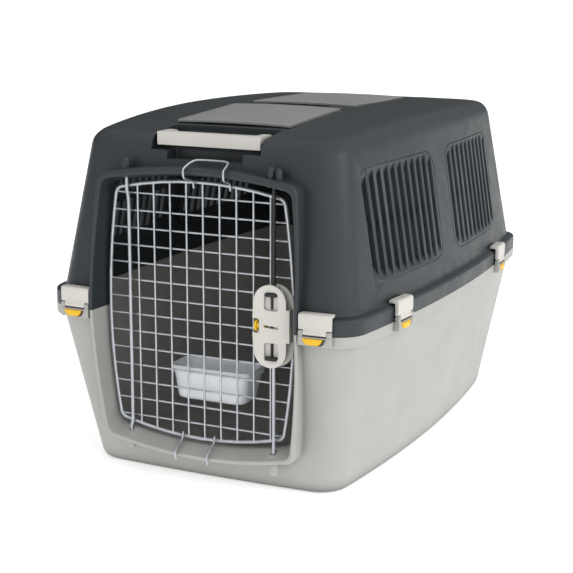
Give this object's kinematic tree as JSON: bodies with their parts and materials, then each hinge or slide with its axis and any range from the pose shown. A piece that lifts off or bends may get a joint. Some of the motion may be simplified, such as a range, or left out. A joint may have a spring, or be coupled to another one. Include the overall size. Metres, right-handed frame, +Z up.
{
  "type": "pet transport carrier",
  "caption": "Rigid plastic pet carrier: clamped grey and anthracite half shells, wire mesh door with a two-way bolt lock, fold-up handles, roof lids and a hung bowl",
  "frame": {"origin": "on the floor under the middle of the carrier", "axes": "+X to the right seen from the front, +Y to the rear, door at -Y, +Z up"},
  "size_m": [0.528, 0.7626, 0.5057],
  "materials": {
    "warm_grey_plastic": "fine moulded grain",
    "anthracite_plastic": "fine moulded grain",
    "light_grey_plastic": "smooth satin",
    "lid_grey_plastic": "fine moulded grain",
    "yellow_plastic": "satin",
    "black_plastic": "satin",
    "clear_white_plastic": "frosted translucent",
    "zinc_wire": "drawn wire, zinc plated"
  },
  "bodies": {
    "shells": {"bottom_shell": "warm_grey_plastic", "top_shell": "anthracite_plastic", "front_lid_pin": "zinc_wire", "rear_lid_pin": "zinc_wire", "front_handle_pin": "zinc_wire", "rear_handle_pin": "zinc_wire", "clamp_pin_left_side_front": "zinc_wire", "clamp_pin_left_side_rear": "zinc_wire", "clamp_pin_front_left": "zinc_wire", "clamp_pin_rear_left": "zinc_wire", "clamp_pin_right_side_front": "zinc_wire", "clamp_pin_right_side_rear": "zinc_wire", "clamp_pin_front_right": "zinc_wire", "clamp_pin_rear_right": "zinc_wire"},
    "door": {"door_frame": "zinc_wire", "door_grille": "zinc_wire", "hinge_rod": "zinc_wire", "top_hook": "zinc_wire", "bottom_hook_left": "zinc_wire", "bottom_hook_right": "zinc_wire", "lock_back_plate": "light_grey_plastic", "lock_case": "light_grey_plastic"},
    "upper_bolt_set": {"upper_bolt": "zinc_wire", "upper_bolt_grip": "black_plastic", "upper_spring": "zinc_wire"},
    "lower_bolt_set": {"lower_bolt": "zinc_wire", "lower_bolt_grip": "black_plastic", "lower_spring": "zinc_wire"},
    "safety_knob": {"safety_knob": "yellow_plastic"},
    "bowl": {"bowl": "clear_white_plastic"},
    "clamp_left_side_front": {"clamp_left_side_front": "light_grey_plastic"},
    "clamp_tab_left_side_front": {"clamp_tab_left_side_front": "yellow_plastic"},
    "clamp_left_side_rear": {"clamp_left_side_rear": "light_grey_plastic"},
    "clamp_tab_left_side_rear": {"clamp_tab_left_side_rear": "yellow_plastic"},
    "clamp_front_left": {"clamp_front_left": "light_grey_plastic"},
    "clamp_tab_front_left": {"clamp_tab_front_left": "yellow_plastic"},
    "clamp_rear_left": {"clamp_rear_left": "light_grey_plastic"},
    "clamp_tab_rear_left": {"clamp_tab_rear_left": "yellow_plastic"},
    "clamp_right_side_front": {"clamp_right_side_front": "light_grey_plastic"},
    "clamp_tab_right_side_front": {"clamp_tab_right_side_front": "yellow_plastic"},
    "clamp_right_side_rear": {"clamp_right_side_rear": "light_grey_plastic"},
    "clamp_tab_right_side_rear": {"clamp_tab_right_side_rear": "yellow_plastic"},
    "clamp_front_right": {"clamp_front_right": "light_grey_plastic"},
    "clamp_tab_front_right": {"clamp_tab_front_right": "yellow_plastic"},
    "clamp_rear_right": {"clamp_rear_right": "light_grey_plastic"},
    "clamp_tab_rear_right": {"clamp_tab_rear_right": "yellow_plastic"},
    "front_handle": {"front_handle": "light_grey_plastic"},
    "rear_handle": {"rear_handle": "light_grey_plastic"},
    "front_lid": {"front_lid": "lid_grey_plastic"},
    "rear_lid": {"rear_lid": "lid_grey_plastic"}
  },
  "joints": [
    {"name": "door_hinge", "type": "hinge", "parent": "shells", "child": "door", "pos_m": [-0.1145, -0.3465, 0.243], "axis": [0, 0, -1], "range_deg": [0, 125]},
    {"name": "upper_bolt_slide", "type": "slide", "parent": "door", "child": "upper_bolt_set", "axis": [0, 0, -1], "range_m": [0, 0.015], "stiffness_N_per_m": 120, "springref_m": -0.02, "deforming": ["upper_spring"]},
    {"name": "lower_bolt_slide", "type": "slide", "parent": "door", "child": "lower_bolt_set", "axis": [0, 0, 1], "range_m": [0, 0.015], "stiffness_N_per_m": 120, "springref_m": -0.02, "deforming": ["lower_spring"]},
    {"name": "safety_knob_slide", "type": "slide", "parent": "door", "child": "safety_knob", "axis": [-1, 0, 0], "range_m": [0, 0.006]},
    {"name": "bowl_lift", "type": "slide", "parent": "door", "child": "bowl", "axis": [0, 0, 1], "range_m": [0, 0.05]},
    {"name": "clamp_left_side_front_hinge", "type": "hinge", "parent": "shells", "child": "clamp_left_side_front", "pos_m": [-0.255, -0.23234, 0.243], "axis": [0.0858, -0.9963, 0], "range_deg": [0, 90]},
    {"name": "clamp_left_side_front_tab_slide", "type": "slide", "parent": "shells", "child": "clamp_tab_left_side_front", "axis": [0.0858, -0.9963, 0], "range_m": [0, 0.0045]},
    {"name": "clamp_left_side_rear_hinge", "type": "hinge", "parent": "shells", "child": "clamp_left_side_rear", "pos_m": [-0.25757, 0.2003, 0.243], "axis": [-0.074, -0.9973, 0], "range_deg": [0, 90]},
    {"name": "clamp_left_side_rear_tab_slide", "type": "slide", "parent": "shells", "child": "clamp_tab_left_side_rear", "axis": [-0.074, -0.9973, 0], "range_m": [0, 0.0045]},
    {"name": "clamp_front_left_hinge", "type": "hinge", "parent": "shells", "child": "clamp_front_left", "pos_m": [-0.18516, -0.37523, 0.243], "axis": [0.9992, -0.0407, 0], "range_deg": [0, 90]},
    {"name": "clamp_front_left_tab_slide", "type": "slide", "parent": "shells", "child": "clamp_tab_front_left", "axis": [0.9992, -0.0407, 0], "range_m": [0, 0.0045]},
    {"name": "clamp_rear_left_hinge", "type": "hinge", "parent": "shells", "child": "clamp_rear_left", "pos_m": [-0.18516, 0.37523, 0.243], "axis": [-0.9992, -0.0407, 0], "range_deg": [0, 90]},
    {"name": "clamp_rear_left_tab_slide", "type": "slide", "parent": "shells", "child": "clamp_tab_rear_left", "axis": [-0.9992, -0.0407, 0], "range_m": [0, 0.0045]},
    {"name": "clamp_right_side_front_hinge", "type": "hinge", "parent": "shells", "child": "clamp_right_side_front", "pos_m": [0.255, -0.23234, 0.243], "axis": [0.0858, 0.9963, 0], "range_deg": [0, 90]},
    {"name": "clamp_right_side_front_tab_slide", "type": "slide", "parent": "shells", "child": "clamp_tab_right_side_front", "axis": [0.0858, 0.9963, 0], "range_m": [0, 0.0045]},
    {"name": "clamp_right_side_rear_hinge", "type": "hinge", "parent": "shells", "child": "clamp_right_side_rear", "pos_m": [0.25757, 0.2003, 0.243], "axis": [-0.074, 0.9973, 0], "range_deg": [0, 90]},
    {"name": "clamp_right_side_rear_tab_slide", "type": "slide", "parent": "shells", "child": "clamp_tab_right_side_rear", "axis": [-0.074, 0.9973, 0], "range_m": [0, 0.0045]},
    {"name": "clamp_front_right_hinge", "type": "hinge", "parent": "shells", "child": "clamp_front_right", "pos_m": [0.18516, -0.37523, 0.243], "axis": [0.9992, 0.0407, 0], "range_deg": [0, 90]},
    {"name": "clamp_front_right_tab_slide", "type": "slide", "parent": "shells", "child": "clamp_tab_front_right", "axis": [0.9992, 0.0407, 0], "range_m": [0, 0.0045]},
    {"name": "clamp_rear_right_hinge", "type": "hinge", "parent": "shells", "child": "clamp_rear_right", "pos_m": [0.18516, 0.37523, 0.243], "axis": [-0.9992, 0.0407, 0], "range_deg": [0, 90]},
    {"name": "clamp_rear_right_tab_slide", "type": "slide", "parent": "shells", "child": "clamp_tab_rear_right", "axis": [-0.9992, 0.0407, 0], "range_m": [0, 0.0045]},
    {"name": "front_handle_hinge", "type": "hinge", "parent": "shells", "child": "front_handle", "pos_m": [0, -0.289, 0.481], "axis": [-1, 0, 0], "range_deg": [0, 75]},
    {"name": "rear_handle_hinge", "type": "hinge", "parent": "shells", "child": "rear_handle", "pos_m": [0, 0.289, 0.481], "axis": [1, 0, 0], "range_deg": [0, 75]},
    {"name": "front_lid_hinge", "type": "hinge", "parent": "shells", "child": "front_lid", "pos_m": [0, -0.075, 0.5001], "axis": [-1, 0, 0], "range_deg": [0, 100]},
    {"name": "rear_lid_hinge", "type": "hinge", "parent": "shells", "child": "rear_lid", "pos_m": [0, 0.19, 0.4969], "axis": [-1, 0, 0], "range_deg": [0, 100]}
  ]
}
